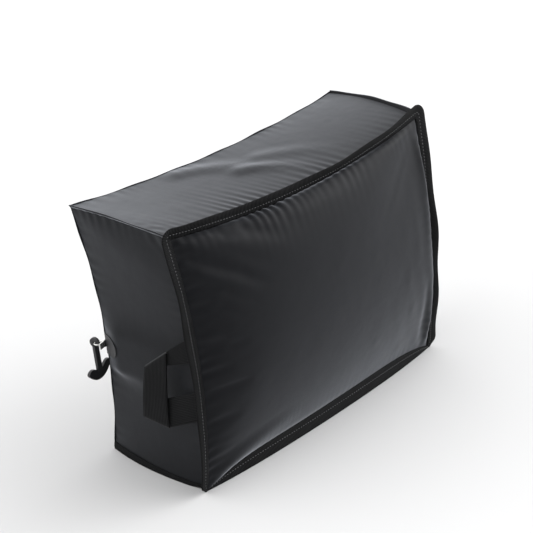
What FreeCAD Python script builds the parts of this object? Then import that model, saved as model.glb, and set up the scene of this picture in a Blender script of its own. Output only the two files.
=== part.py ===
"""A film changing bag: a puffed-up, light-tight box bag standing on its long narrow side.

Millimetres. X runs along the bag's length, the broad front faces -Y, the zipped back faces +Y and Z is up.
The origin is on the ground under the middle of the bag.

Each panel is a doubly curved patch stretched between bowed seams, so a few named points (corners, seam middles
and panel middles) drive the whole shape. Every piece is written to its own file.
"""
import math
import os

import FreeCAD
import Part

Vector = FreeCAD.Vector

# Cloth thicknesses.
SHELL_CLOTH = 1.2
LINING_CLOTH = 0.8

# The skin's named points for its right half: signs along X, Y and Z to a position.
# Three signs name a corner, two a seam's middle and one a panel's middle.
SKIN = {
    (1, -1, -1): Vector(203, -80, 0),
    (1, -1, 1): Vector(203, -78, 323),
    (1, 1, -1): Vector(215, 80, 0),
    (1, 1, 1): Vector(215, 80, 335),
    (1, -1, 0): Vector(200, -95, 163),
    (1, 1, 0): Vector(206, 72, 168),
    (1, 0, -1): Vector(210, 0, 0),
    (1, 0, 1): Vector(210, 0, 330),
    (0, -1, -1): Vector(0, -90, 0),
    (0, -1, 1): Vector(0, -90, 312),
    (0, 1, -1): Vector(0, 84, 0),
    (0, 1, 1): Vector(0, 72, 326),
    (0, -1, 0): Vector(0, -135, 160),
    (0, 1, 0): Vector(0, 103, 167.5),
    (0, 0, -1): Vector(0, 0, 0),
    (0, 0, 1): Vector(0, -5, 335),
    (1, 0, 0): Vector(217, -8, 162),
}

# Bound seam edges.
BINDING_WIDTH = 12.0
FOOT_BINDING_SHARES = (0.008, 0.05)
BINDING_THICKNESS = 2.4
BASE_BINDING_SHARES = (0.005, 0.034)
BASE_BINDING_THICKNESS = 1.2

# The zipper, placed by its share of the back panel's height.
ZIPPER_LEVEL = 0.44
TAPE_SHARE = 0.042
CHAIN_SHARE = 0.009
CHAIN_PROUD = 0.8
CHAIN_DEPTH = 2.4
DOCK_REACH = 0.17
DOCK_HEIGHT = 28.0
DOCK_THICKNESS = 1.0
BAFFLE_SHARE = 0.06
BAFFLE_STAND_OFF = 6.0

# The slider and its pull, in a frame with X along the zipper, Y away from the bag and Z up.
SLIDER_LENGTH = 18.0
SLIDER_HEIGHT = 11.0
SLIDER_UNDERSIDE = 1.5
SLIDER_PLATE = 1.4
SLIDER_REST_X = -209.0
BRIDGE_AXIS = 6.6
BRIDGE_BAR_RADIUS = 0.9
BRIDGE_POST = 1.8
RING_RADIUS = 5.6
RING_WIRE_RADIUS = 0.9
LINK_CLEARANCE = 0.05
PULL_THICKNESS = 3.6
PULL_HEAD_RADIUS = 6.5
PULL_HOLE_RADIUS = 2.2
PULL_STEM_WIDTH = 8.5
PULL_LENGTH = 49.0
PULL_BAR_LENGTH = 46.0
PULL_BAR_HEIGHT = 11.0
PULL_TIP_RISE = 7.0

# The webbing handles, in a frame with X away from the seam and Z up.
HANDLE_THICKNESS = 2.4
HANDLE_HINGE = Vector(-208, -90, 0)
HANDLE_REST_ANGLE = 108.0
HANDLE_OUTLINE = [(0.5, 170), (0.5, 203), (64, 156), (78, 89), (70, 81), (40, 77), (0.5, 94), (0.5, 131),
                  (37, 118), (30, 160)]

# The arm ports and the sleeves turned inside.
PORT_X = 105.0
PORT_HEIGHT_SHARE = 0.715
PORT_RADIUS = 60.0
PORT_RING_WIDTH = 4.0
PORT_RING_OUT = 5.0
PORT_RING_IN = 6.0
SLEEVE_CLOTH = 1.0
SLEEVE_LENGTH = 118.0
CUFF_RADIUS = 30.0
CUFF_THICKNESS = 2.0
CUFF_LENGTH = 20.0

UP = Vector(0, 0, 1)


def save(name, shape):
    """Write one piece to its own file."""
    shape.exportStep("parts/" + name + ".step")


def skin_point(sign_x, sign_y, sign_z, inset):
    """One named point of the skin, drawn in towards the bag's middle by inset."""
    base = SKIN[(abs(sign_x), sign_y, sign_z)]
    side = -1 if sign_x < 0 else 1
    return Vector(base.x * side - sign_x * inset, base.y - sign_y * inset, base.z - sign_z * inset)


def bezier_poles(points):
    """Poles of the biquadratic patch that passes through a 3 by 3 grid of points."""
    poles = [list(row) for row in points]
    for i, j in ((0, 1), (2, 1)):
        poles[i][j] = points[i][j] * 2 - (points[i][0] + points[i][2]) * 0.5
        poles[j][i] = points[j][i] * 2 - (points[0][i] + points[2][i]) * 0.5
    corners = points[0][0] + points[0][2] + points[2][0] + points[2][2]
    edges = poles[0][1] + poles[1][0] + poles[1][2] + poles[2][1]
    poles[1][1] = points[1][1] * 4 - corners * 0.25 - edges * 0.5
    return poles


def panel_poles(face, inset):
    """Poles of one panel: its first direction runs along X (or Y on the ends), its second upwards (or along Y)."""
    signs = (-1, 0, 1)
    if face in ("front", "back"):
        side = -1 if face == "front" else 1
        grid = [[skin_point(a, side, b, inset) for b in signs] for a in signs]
    elif face in ("top", "bottom"):
        side = -1 if face == "bottom" else 1
        grid = [[skin_point(a, b, side, inset) for b in signs] for a in signs]
    else:
        side = -1 if face == "left" else 1
        grid = [[skin_point(side, a, b, inset) for b in signs] for a in signs]
    return bezier_poles(grid)


def blossom(poles, s, t):
    """The quadratic curve's polar form, which gives the poles of any stretch of the curve."""
    return poles[0] * ((1 - s) * (1 - t)) + poles[1] * ((1 - s) * t + s * (1 - t)) + poles[2] * (s * t)


def stretch(poles, first, last):
    """Poles of the part of a quadratic curve between two shares of its length."""
    return [blossom(poles, first, first), blossom(poles, first, last), blossom(poles, last, last)]


def cut_patch(poles, along=(0.0, 1.0), up=(0.0, 1.0)):
    """Poles of the part of a patch between two shares of each direction."""
    rows = [stretch(row, up[0], up[1]) for row in poles]
    columns = [stretch([rows[i][j] for i in range(3)], along[0], along[1]) for j in range(3)]
    return [[columns[j][i] for j in range(3)] for i in range(3)]


def flat_face(poles):
    """A plane face inside the outline of a level patch."""
    outline = []
    for row in (poles[0], [r[-1] for r in poles], poles[-1], [r[0] for r in poles]):
        curve = Part.BezierCurve()
        curve.setPoles(row)
        outline.append(curve.toShape())
    return Part.Face(Part.Wire(Part.__sortEdges__(outline)))


def patch_face(poles):
    """A face from a grid of Bezier poles."""
    if len(poles) == 3 and all(abs(pole.z - poles[0][0].z) < 1e-6 for row in poles for pole in row):
        return flat_face(poles)
    surface = Part.BezierSurface()
    surface.increase(len(poles) - 1, len(poles[0]) - 1)
    for i, row in enumerate(poles):
        for j, pole in enumerate(row):
            surface.setPole(i + 1, j + 1, pole)
    return surface.toShape()


def block(outer, inner):
    """The solid between two patches, closed by straight-ruled sides."""
    sides = [
        [outer[0], inner[0]],
        [outer[2], inner[2]],
        [[row[0] for row in outer], [row[0] for row in inner]],
        [[row[2] for row in outer], [row[2] for row in inner]],
    ]
    faces = [patch_face(grid) for grid in [outer, inner] + sides]
    shell = Part.makeShell(faces)
    shell.sewShape()
    solid = Part.makeSolid(shell)
    if solid.Volume < 0:
        solid.reverse()
    return solid


def panel(face, outer_inset, inner_inset, along=(0.0, 1.0), up=(0.0, 1.0)):
    """A sheet that follows one face of the bag between two depths."""
    outer = cut_patch(panel_poles(face, outer_inset), along, up)
    inner = cut_patch(panel_poles(face, inner_inset), along, up)
    return block(outer, inner)


def surface_point(face, along, up):
    """A point of a face's outer surface."""
    poles = panel_poles(face, 0.0)
    column = [blossom(row, up, up) for row in poles]
    return blossom(column, along, along)


def surface_normal(face, along, up):
    """The outward direction of a broad face's surface at one point."""
    step = 0.001
    across = surface_point(face, along + step, up) - surface_point(face, along - step, up)
    rise = surface_point(face, along, up + step) - surface_point(face, along, up - step)
    normal = rise.cross(across)
    return normal.normalize()


def turned(shape, axis_point, degrees):
    """A shape turned about an upright axis."""
    result = shape.copy()
    result.rotate(axis_point, UP, degrees)
    return result


def mirrored(shape):
    """The same shape on the other side of the bag's middle."""
    return shape.mirror(Vector(0, 0, 0), Vector(1, 0, 0))


def prism(outline, thickness):
    """A plate of an outline in the XZ plane, centred on the plane."""
    corners = [Vector(x, thickness / 2, z) for x, z in outline]
    wire = Part.makePolygon(corners + corners[:1])
    return Part.Face(wire).extrude(Vector(0, -thickness, 0))


def port_frame(side):
    """The middle and the outward direction of an arm port."""
    along = 0.5 + side * PORT_X / (2 * SKIN[(1, 1, 0)].x)
    middle = surface_point("back", along, PORT_HEIGHT_SHARE)
    return middle, surface_normal("back", along, PORT_HEIGHT_SHARE)


def tube(middle, outward, start, end, radius_start, radius_end, wall):
    """A round or tapering tube between two distances along a port's direction."""
    rims = [(start, radius_start), (end, radius_end), (end, radius_end - wall), (start, radius_start - wall)]
    aside = outward.cross(UP).normalize()
    corners = [middle + outward * distance + aside * radius for distance, radius in rims]
    section = Part.Face(Part.makePolygon(corners + corners[:1]))
    return section.revolve(middle, outward, 360)


def port_cutter(side):
    """The round hole of an arm port through every layer of the back."""
    middle, outward = port_frame(side)
    return Part.makeCylinder(PORT_RADIUS, 80, middle - outward * 40, outward)


def make_panels():
    """The seven outer panels; the back is split by the zipper and holed by the arm ports."""
    for face in ("front", "top", "bottom", "left", "right"):
        name = face + "_end_panel" if face in ("left", "right") else face + "_panel"
        save(name, panel(face, 0.0, SHELL_CLOTH))
    save("back_panel_lower", panel("back", 0.0, SHELL_CLOTH, up=(0.0, ZIPPER_LEVEL - TAPE_SHARE)))
    upper = panel("back", 0.0, SHELL_CLOTH, up=(ZIPPER_LEVEL + TAPE_SHARE, 1.0))
    for side in (-1, 1):
        upper = upper.cut(port_cutter(side))
    save("back_panel_upper", upper)


def make_lining():
    """The black lining behind each panel, open at the zipper and at the arm ports."""
    inner = SHELL_CLOTH + LINING_CLOTH
    for face in ("front", "top", "bottom", "left", "right"):
        save("lining_" + face, panel(face, SHELL_CLOTH, inner))
    below = (0.0, ZIPPER_LEVEL - TAPE_SHARE * 0.6)
    save("lining_back_lower", panel("back", SHELL_CLOTH, inner, up=below))
    upper = panel("back", SHELL_CLOTH, inner, up=(ZIPPER_LEVEL + TAPE_SHARE * 0.6, 1.0))
    for side in (-1, 1):
        upper = upper.cut(port_cutter(side))
    save("lining_back_upper", upper)


def seam_strip(seam, outward, first, last):
    """A bound edge standing out from a front seam, given by the seam's three poles."""
    poles = stretch(seam, first, last)
    reach = outward * BINDING_WIDTH
    forward = Vector(0, -BINDING_THICKNESS, 0)
    back = [[p + reach * share for share in (0.0, 0.5, 1.0)] for p in poles]
    front = [[p + forward for p in row] for row in back]
    return block(front, back)


def make_front_binding():
    """The tape-bound seam allowance that stands out all round the front panel."""
    front = panel_poles("front", 0.0)
    save("front_binding_top", seam_strip([row[2] for row in front], UP, -0.028, 1.028))
    left = seam_strip(front[0], Vector(-1, 0, 0), 0.004, 0.965)
    save("front_binding_left", left)
    save("front_binding_right", mirrored(left))
    save("front_binding_bottom", panel("front", -BINDING_THICKNESS, 0.0, along=(0.01, 0.99), up=FOOT_BINDING_SHARES))


def make_base_binding():
    """The bound band along the foot of the two ends and the back."""
    low = BASE_BINDING_SHARES
    save("base_binding_left", panel("left", -BASE_BINDING_THICKNESS, 0.0, along=(0.03, 1.0), up=low))
    save("base_binding_right", panel("right", -BASE_BINDING_THICKNESS, 0.0, along=(0.03, 1.0), up=low))
    save("base_binding_back", panel("back", -BASE_BINDING_THICKNESS, 0.0, up=low))


def make_zipper():
    """The two tapes, the two closed rows of teeth, the end pieces and the flap that keeps light out."""
    edge = TAPE_SHARE
    save("zipper_tape_lower", panel("back", 0.0, SHELL_CLOTH, up=(ZIPPER_LEVEL - edge, ZIPPER_LEVEL - CHAIN_SHARE)))
    save("zipper_tape_upper", panel("back", 0.0, SHELL_CLOTH, up=(ZIPPER_LEVEL + CHAIN_SHARE, ZIPPER_LEVEL + edge)))
    inner = CHAIN_DEPTH - CHAIN_PROUD
    save("zipper_chain_lower", panel("back", -CHAIN_PROUD, inner, up=(ZIPPER_LEVEL - CHAIN_SHARE, ZIPPER_LEVEL)))
    save("zipper_chain_upper", panel("back", -CHAIN_PROUD, inner, up=(ZIPPER_LEVEL, ZIPPER_LEVEL + CHAIN_SHARE)))
    dock = zipper_dock()
    save("zipper_dock", dock)
    save("zipper_stop", mirrored(dock))
    save("light_baffle", light_baffle())


def zipper_dock():
    """The rubber end piece that wraps from the zipper's end onto the bag's end, with a rounded nose."""
    reach = 0.09
    plate = panel("left", -DOCK_THICKNESS, 0.0, along=(1.0 - DOCK_REACH, 1.0),
                  up=(ZIPPER_LEVEL - reach, ZIPPER_LEVEL + reach))
    corner = surface_point("left", 1.0, ZIPPER_LEVEL)
    nose_y = surface_point("left", 1.0 - DOCK_REACH, ZIPPER_LEVEL).y + DOCK_HEIGHT / 2
    start = Vector(corner.x - 30, nose_y, corner.z)
    nose = Part.makeCylinder(DOCK_HEIGHT / 2, 60, start, Vector(1, 0, 0))
    body = Part.makeBox(60, 40, DOCK_HEIGHT, start - UP * (DOCK_HEIGHT / 2))
    return plate.common(nose.fuse(body))


def light_baffle():
    """A flap sewn to the lining above the zipper that hangs behind the teeth."""
    touching = SHELL_CLOTH + LINING_CLOTH
    share = (ZIPPER_LEVEL - BAFFLE_SHARE, ZIPPER_LEVEL + BAFFLE_SHARE)
    layers = []
    for depth in (0.0, SHELL_CLOTH):
        near = cut_patch(panel_poles("back", touching + depth), (0.03, 0.97), share)
        far = cut_patch(panel_poles("back", touching + BAFFLE_STAND_OFF + depth), (0.03, 0.97), share)
        layers.append([[far[i][0], far[i][1], near[i][2]] for i in range(3)])
    return block(layers[0], layers[1])


def zipper_arc():
    """The centre of the arc that the teeth follow across the back, and its radius."""
    middle = surface_point("back", 0.5, ZIPPER_LEVEL)
    end = surface_point("back", 1.0, ZIPPER_LEVEL)
    sag = middle.y - end.y
    radius = (end.x * end.x + sag * sag) / (2 * sag)
    return Vector(0, middle.y - radius, middle.z), radius


def place_on_zipper(shape):
    """Move a shape from the slider's own frame to the parked slider at the zipper's left end."""
    centre, radius = zipper_arc()
    result = shape.copy()
    result.translate(centre + Vector(0, radius, 0))
    return turned(result, centre, math.degrees(math.asin(-SLIDER_REST_X / radius)))


def slider_shape():
    """The zipper slider: a waisted plate over the teeth and a bridge with an upright bar."""
    half = SLIDER_LENGTH / 2
    top = SLIDER_HEIGHT / 2
    outline = [(-half, -top * 0.72), (-half * 0.2, -top * 0.72), (half * 0.5, -top), (half, -top * 0.6)]
    outline = outline + [(x, -z) for x, z in reversed(outline)]
    plate = prism(outline, SLIDER_PLATE)
    plate.translate(Vector(0, SLIDER_UNDERSIDE + SLIDER_PLATE / 2, 0))
    post_base = SLIDER_UNDERSIDE + SLIDER_PLATE - 0.2
    post_length = BRIDGE_AXIS + BRIDGE_BAR_RADIUS - post_base
    shape = plate
    for foot in (-top * 0.7, top * 0.7 - BRIDGE_POST):
        post = Part.makeBox(3.2, post_length, BRIDGE_POST, Vector(-1.6, post_base, foot))
        shape = shape.fuse(post)
    bar_height = top * 1.4 - BRIDGE_POST
    bar = Part.makeCylinder(BRIDGE_BAR_RADIUS, bar_height, Vector(0, BRIDGE_AXIS, -bar_height / 2), UP)
    return shape.fuse(bar)


def ring_centre():
    """The pull ring's centre: the ring is drawn outwards until it meets the bridge's bar."""
    reach = RING_RADIUS - RING_WIRE_RADIUS - BRIDGE_BAR_RADIUS - LINK_CLEARANCE
    return Vector(0, BRIDGE_AXIS + reach, 0)


def pull_shape():
    """The soft T-shaped pull that hangs from the ring, its cross bar curling up at both tips."""
    hang = ring_centre() + Vector(0, RING_RADIUS, 0)
    bar_z = -PULL_LENGTH + PULL_BAR_HEIGHT / 2
    half = PULL_BAR_LENGTH / 2 - PULL_BAR_HEIGHT / 2
    outline = Part.BSplineCurve()
    low = bar_z - PULL_BAR_HEIGHT / 2
    outline.interpolate([Vector(x, PULL_THICKNESS / 2, z) for x, z in (
        (-half, low + PULL_TIP_RISE), (0, low), (half, low + PULL_TIP_RISE),
        (half + PULL_BAR_HEIGHT / 2, low + PULL_TIP_RISE + PULL_BAR_HEIGHT * 0.7),
        (half, low + PULL_TIP_RISE + PULL_BAR_HEIGHT), (0, low + PULL_BAR_HEIGHT),
        (-half, low + PULL_TIP_RISE + PULL_BAR_HEIGHT),
        (-half - PULL_BAR_HEIGHT / 2, low + PULL_TIP_RISE + PULL_BAR_HEIGHT * 0.7))], PeriodicFlag=True)
    bar = Part.Face(Part.Wire(outline.toShape())).extrude(Vector(0, -PULL_THICKNESS, 0))
    stem_foot = Vector(-PULL_STEM_WIDTH / 2, -PULL_THICKNESS / 2, bar_z)
    stem = Part.makeBox(PULL_STEM_WIDTH, PULL_THICKNESS, -PULL_HOLE_RADIUS - 1.5 - bar_z, stem_foot)
    across = Vector(1, 0, 0)
    head = Part.makeCylinder(PULL_HEAD_RADIUS, PULL_THICKNESS, Vector(-PULL_THICKNESS / 2, 0, 0), across)
    hole = Part.makeCylinder(PULL_HOLE_RADIUS, 20, Vector(-10, 0, 0), across)
    shape = bar.fuse(stem).fuse(head).cut(hole)
    shape.translate(hang)
    return shape


def make_slider():
    """The slider, its ring and its pull, parked at the zipper's left end."""
    save("zipper_slider", place_on_zipper(slider_shape()))
    save("pull_ring", place_on_zipper(Part.makeTorus(RING_RADIUS, RING_WIRE_RADIUS, ring_centre(), UP)))
    save("t_pull", place_on_zipper(pull_shape()))


def make_handles():
    """The two webbing loops, sewn into the front end seams and folded back along the ends."""
    handle = prism(HANDLE_OUTLINE, HANDLE_THICKNESS)
    handle = turned(handle, Vector(0, 0, 0), HANDLE_REST_ANGLE)
    handle.translate(HANDLE_HINGE)
    save("left_handle", handle)
    save("right_handle", mirrored(handle))


def make_sleeves():
    """The two arm ports with their rings, the sleeves turned inside and the elastic cuffs."""
    for name, side in (("left", -1), ("right", 1)):
        middle, outward = port_frame(side)
        ring = tube(middle, outward, -PORT_RING_IN, PORT_RING_OUT, PORT_RADIUS, PORT_RADIUS, PORT_RING_WIDTH)
        mouth = PORT_RADIUS - PORT_RING_WIDTH
        end = -PORT_RING_IN - SLEEVE_LENGTH
        sleeve = tube(middle, outward, end, -PORT_RING_IN, CUFF_RADIUS, mouth + SLEEVE_CLOTH, SLEEVE_CLOTH)
        cuff = tube(middle, outward, end - CUFF_LENGTH, end, CUFF_RADIUS, CUFF_RADIUS, CUFF_THICKNESS)
        save(name + "_port_ring", ring)
        save(name + "_sleeve", sleeve)
        save(name + "_cuff", cuff)


os.makedirs("parts", exist_ok=True)
make_panels()
make_lining()
make_front_binding()
make_base_binding()
make_zipper()
make_slider()
make_handles()
make_sleeves()
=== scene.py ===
import math

import bpy
import numpy as np
from mathutils import Matrix, Vector


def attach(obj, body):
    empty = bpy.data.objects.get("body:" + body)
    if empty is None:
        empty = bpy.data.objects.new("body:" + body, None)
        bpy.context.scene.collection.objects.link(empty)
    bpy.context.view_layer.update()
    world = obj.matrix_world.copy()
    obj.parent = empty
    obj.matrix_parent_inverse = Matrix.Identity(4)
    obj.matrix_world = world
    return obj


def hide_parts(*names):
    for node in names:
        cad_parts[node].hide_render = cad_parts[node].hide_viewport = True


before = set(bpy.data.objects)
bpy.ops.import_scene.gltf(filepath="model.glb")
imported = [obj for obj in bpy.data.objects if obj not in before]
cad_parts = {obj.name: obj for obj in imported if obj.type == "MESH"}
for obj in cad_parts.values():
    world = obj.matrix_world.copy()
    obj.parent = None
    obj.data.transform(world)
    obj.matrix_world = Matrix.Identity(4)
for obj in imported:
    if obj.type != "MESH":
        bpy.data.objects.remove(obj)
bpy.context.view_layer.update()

# A film changing bag: a puffed-up, light-tight box bag of black coated cloth, standing on its long narrow side.
# Metres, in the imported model's frame: X along the bag, -Y out of its broad front, Z up.

MM = 0.001

# The bag's named points for its right half, in millimetres: signs along X, Y and Z to a position.
# Three signs name a corner, two a seam's middle and one a panel's middle.
SKIN = {
    (1, -1, -1): (203, -80, 0),
    (1, -1, 1): (203, -78, 323),
    (1, 1, -1): (215, 80, 0),
    (1, 1, 1): (215, 80, 335),
    (1, -1, 0): (200, -95, 163),
    (1, 1, 0): (206, 72, 168),
    (1, 0, -1): (210, 0, 0),
    (1, 0, 1): (210, 0, 330),
    (0, -1, -1): (0, -90, 0),
    (0, -1, 1): (0, -90, 312),
    (0, 1, -1): (0, 84, 0),
    (0, 1, 1): (0, 72, 326),
    (0, -1, 0): (0, -135, 160),
    (0, 1, 0): (0, 103, 167.5),
    (0, 0, -1): (0, 0, 0),
    (0, 0, 1): (0, -5, 335),
    (1, 0, 0): (217, -8, 162),
}

# Where the soft bag leans away from its even shape, in millimetres, by the signs of the named point.
LEAN = {
    (1, -1, 1): (6, 0, 8),
    (1, 0, 1): (9, 0, 5),
    (1, 1, 1): (0, 0, -2),
    (0, 1, 1): (0, 0, -2),
    (1, -1, 0): (-8, 0, 0),
    (1, -1, -1): (3, 14, 0),
    (-1, -1, -1): (-8, -10, 0),
    (0, -1, -1): (0, 4, 0),
    (-1, 0, -1): (-11, 0, 0),
    (-1, 1, 1): (-4, 0, -2),
    (0, -1, 0): (15, -4, 5),
}

# The cloth's grid, and how high the front's foot seam stands above the ground.
CELLS = (50, 19, 39)
FOOT_SEAM_HEIGHT = 17 * MM
FOOT_CORNER_HEIGHT = 3 * MM
FOOT_CORNER_SHARPNESS = 5
FOOT_SEAM_REACH = 0.14
FOOT_LIFT_FALL = 1.5

# The flat-sided box that the panels are cut for: its half width, its front or back and its height, at the front
# and at the back, and the size of each face. Millimetres. The cloth is cut larger than that by the two eases.
BOX_FRONT = (203, -79, 323)
BOX_BACK = (215, 80, 335)
FACE_SPANS = {"front": (406, 306), "back": (430, 335), "top": (418, 160), "bottom": (418, 160),
              "left": (160, 329), "right": (160, 329)}
WIDTH_EASE = 1.022
HEIGHT_EASE = 1.04

# How the cloth behaves while it is blown up, and for how many frames.
CLOTH_SETTINGS = {
    "quality": 6, "mass": 0.15, "air_damping": 1,
    "tension_stiffness": 150, "compression_stiffness": 10, "shear_stiffness": 20, "bending_stiffness": 0.06,
    "tension_damping": 3, "compression_damping": 3, "shear_damping": 3, "bending_damping": 0.2,
    "use_pressure": True, "uniform_pressure_force": 80.0,
}
UNEVENNESS = 0.3 * MM
DRAW_IN_FRAMES = 12
SETTLED_FRAME = 40
LINING_DEPTH = 3.5 * MM

# The zipper, by its share of the back's height and of the ends' depth, and how far round it the cloth is held.
ZIPPER_LEVEL = 0.44
TAPE_SHARE = 0.042
TAPE_LIFT = 0.25 * MM
DOCK_SHARE = 0.17
DOCK_RISE = 0.09
FLAP_SHARE = 0.06
TAPE_MARGIN = 0.005
DOCK_MARGIN = 0.04
TOOTH_PITCH = 2.6 * MM
BACK_LENGTH = 0.42
BACK_HEIGHT = 0.335

# The arm ports and their sleeves.
BACK_SPAN = 2 * SKIN[(1, 1, 0)][0] * MM
PORT_X = 105 * MM
PORT_LEVEL = 0.715
PORT_RADIUS = 60 * MM
PORT_MARGIN = 9 * MM
PORT_DEPTH = 6 * MM
SLEEVE_RADIUS = 57 * MM
SLEEVE_LENGTH = 118 * MM
CUFF_RADIUS = 30 * MM
CUFF_LENGTH = 20 * MM

# Bound edges and the ground clearance that nothing sewn goes below.
BINDING_WIDTH = 15 * MM
BINDING_HALF_THICKNESS = 1.3 * MM
BINDING_SPLAY = 0.30
BASE_BAND_HEIGHT = 11 * MM
GROUND_GAP = 0.3 * MM

# Thread stitches.
STITCH_LENGTH = 2.3 * MM
STITCH_GAP = 1.9 * MM
THREAD_THICKNESS = 0.34 * MM
THREAD_SIDES = 6

# Cross-sections. A stitch's rings are shares of its length, its thickness and how far it stands out. The
# binding's upper half is shares of its width and of its half thickness. A tooth's rings are its height, half
# width and two ends. The others are distances in millimetres, but a seam ridge's first value is a share of how
# far it stands out.
STITCH_RINGS = [(0, 0.35, -0.6), (0.2, 1, 0.25), (0.5, 1.1, 0.45), (0.8, 1, 0.25), (1, 0.35, -0.6)]
BINDING_UPPER = [(-0.1, 1), (0.18, 1.3), (0.34, 0.72), (0.5, 1.2), (0.8, 1.05), (0.96, 0.7)]
BINDING_PROFILE = BINDING_UPPER + [(1.0, 0)] + [(out, -up) for out, up in reversed(BINDING_UPPER)]
TOOTH_RINGS = [(-1.2, 0.75, -0.6, 2.9), (0.5, 0.75, -0.6, 2.9), (0.85, 0.5, -0.3, 2.5)]
BASE_BAND_PROFILE = [(0.4, 0.3), (0.8, 1.5), (4, 1.9), (8, 1.8), (10.4, 1.5), (11, 0.2)]
RIDGE_PROFILE = [(-1.2, 0.9), (0.4, 0.75), (0.8, 0.6), (1.0, 0), (0.8, -0.6), (0.4, -0.75), (-1.2, -0.9)]
PORT_RING_PROFILE = [(60, -6), (60.6, -2), (60.8, 2.5), (60, 4.6), (58, 5.2), (56.4, 4.4), (56, 2), (56, -6)]

# The webbing handle: its hinge line, the way it points, and the corners of its three flat stretches,
# each as distance from the seam and height.
HANDLE_HINGE = (-208 * MM, -90 * MM)
HANDLE_ANGLE = 108.0
HANDLE_ROOT_HIGH = [(-2, 170), (-2, 203), (32, 180), (34, 162)]
HANDLE_ROOT_LOW = [(-2, 94), (-2, 131), (40, 117), (42, 78)]
HANDLE_FACE = [(42, 78), (77, 88), (64, 156), (30, 180)]
HANDLE_PLY_OFFSET = 0.9 * MM
HANDLE_BOW = 2.2 * MM
FOLD_RADIUS = 1.6 * MM

# The top's long folds: start, middle and end as shares of its length and depth, height in millimetres and width
# as a share of its depth.
TOP_FOLDS = [
    ((0.34, 0.95), (0.47, 0.72), (0.52, 0.30), 1.6, 0.10),
    ((0.46, 0.62), (0.55, 0.45), (0.60, 0.12), 1.5, 0.08),
    ((0.56, 0.70), (0.66, 0.50), (0.74, 0.20), 0.9, 0.09),
]

# The fold that runs out of the front's lower left corner, in the same terms.
FRONT_FOLDS = [((0.01, 0.01), (0.13, 0.075), (0.36, 0.11), 2.2, 0.045)]

# The puckers along a face's seams: the seam, a shift along it in metres, a slant, and the spacing, depth and
# reach in millimetres. A depth of None is the strong gathering of the front's top seam.
FRONT_PUCKERS = [("high", 0, 0, 12, None, 15), ("low", 0.31, 0, 11, 0.18, 9),
                 ("left", 0.11, 0, 13, 0.8, 13), ("right", 0.23, 0, 13, 0.5, 12)]
TOP_PUCKERS = [("low", 0, 0.25, 12, None, 24), ("high", 0.5, 0, 16, 0.35, 10)]

# The camera's way round, way up and roll in degrees, what it looks at and how far away it stands.
CAMERA_ANGLES = (-40.3, 24.69, -7.28)
CAMERA_TARGET = (0.001, 0, 0.186)
CAMERA_DISTANCE = 2.186
CAMERA_LENS = 118.1
SENSOR_WIDTH = 36

# The soft light from all round: each glow's direction, the cosine where it starts and its strength.
GLOWS = [((0, 0, 1), 0.2, 0.5), ((0.60, 0.72, 0.35), 0.4, 1.4), ((0.84, -0.53, 0.09), 0.28, 4.3),
         ((-0.85, 0.42, 0.3), 0.3, 1.9)]
BASE_LIGHT = 0.1
FLOOR_SIZE = 30.0

FACES = ("front", "back", "top", "bottom", "left", "right")


def skin_point(sign_x, sign_y, sign_z):
    """One named point of the skin, in metres."""
    x, y, z = SKIN[(abs(sign_x), sign_y, sign_z)]
    even = Vector((-x if sign_x < 0 else x, y, z))
    return (even + Vector(LEAN.get((sign_x, sign_y, sign_z), (0, 0, 0)))) * MM


def face_points(face):
    """The 3 by 3 named points of one face, along X (or Y on the ends) and then upwards (or along Y)."""
    signs = (-1, 0, 1)
    if face in ("front", "back"):
        side = -1 if face == "front" else 1
        return [[skin_point(a, side, b) for b in signs] for a in signs]
    if face in ("top", "bottom"):
        side = -1 if face == "bottom" else 1
        return [[skin_point(a, b, side) for b in signs] for a in signs]
    side = -1 if face == "left" else 1
    return [[skin_point(side, a, b) for b in signs] for a in signs]


FACE_POINTS = {face: face_points(face) for face in FACES}


def through(first, middle, last, share):
    """A point of the quadratic curve through three points."""
    outer = first * ((1 - share) * (1 - 2 * share)) + last * (share * (2 * share - 1))
    return outer + middle * (4 * share * (1 - share))


def on_skin(face, along, up):
    """A point of one face's smooth shape."""
    return through(*[through(*column, up) for column in FACE_POINTS[face]], along)


def off_skin(face, along, up, height):
    """A point at some height above one face's smooth shape."""
    step = 0.002
    across = on_skin(face, along + step, up) - on_skin(face, along - step, up)
    rise = on_skin(face, along, up + step) - on_skin(face, along, up - step)
    normal = across.cross(rise).normalized()
    if face in ("back", "bottom", "left"):
        normal = -normal
    return on_skin(face, along, up) + normal * height


# ---- The puffed-up cloth ----

def height_shares():
    """The grid's levels up the bag, with two of them moved onto the zipper tape's edges."""
    levels = [k / CELLS[2] for k in range(CELLS[2] + 1)]
    for edge in (ZIPPER_LEVEL - TAPE_SHARE, ZIPPER_LEVEL + TAPE_SHARE):
        nearest = min(range(len(levels)), key=lambda k: abs(levels[k] - edge))
        levels[nearest] = edge
    return levels


def port_share(side):
    """How far along the back an arm port's middle is."""
    return 0.5 + side * PORT_X / BACK_SPAN


def box_grid():
    """Every grid point of the box as (i, j, k) with its shares along X, Y and Z."""
    levels = height_shares()
    shares = {}
    for i in range(CELLS[0] + 1):
        for j in range(CELLS[1] + 1):
            for k in range(CELLS[2] + 1):
                if i in (0, CELLS[0]) or j in (0, CELLS[1]) or k in (0, CELLS[2]):
                    shares[(i, j, k)] = (i / CELLS[0], j / CELLS[1], levels[k])
    return shares


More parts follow.
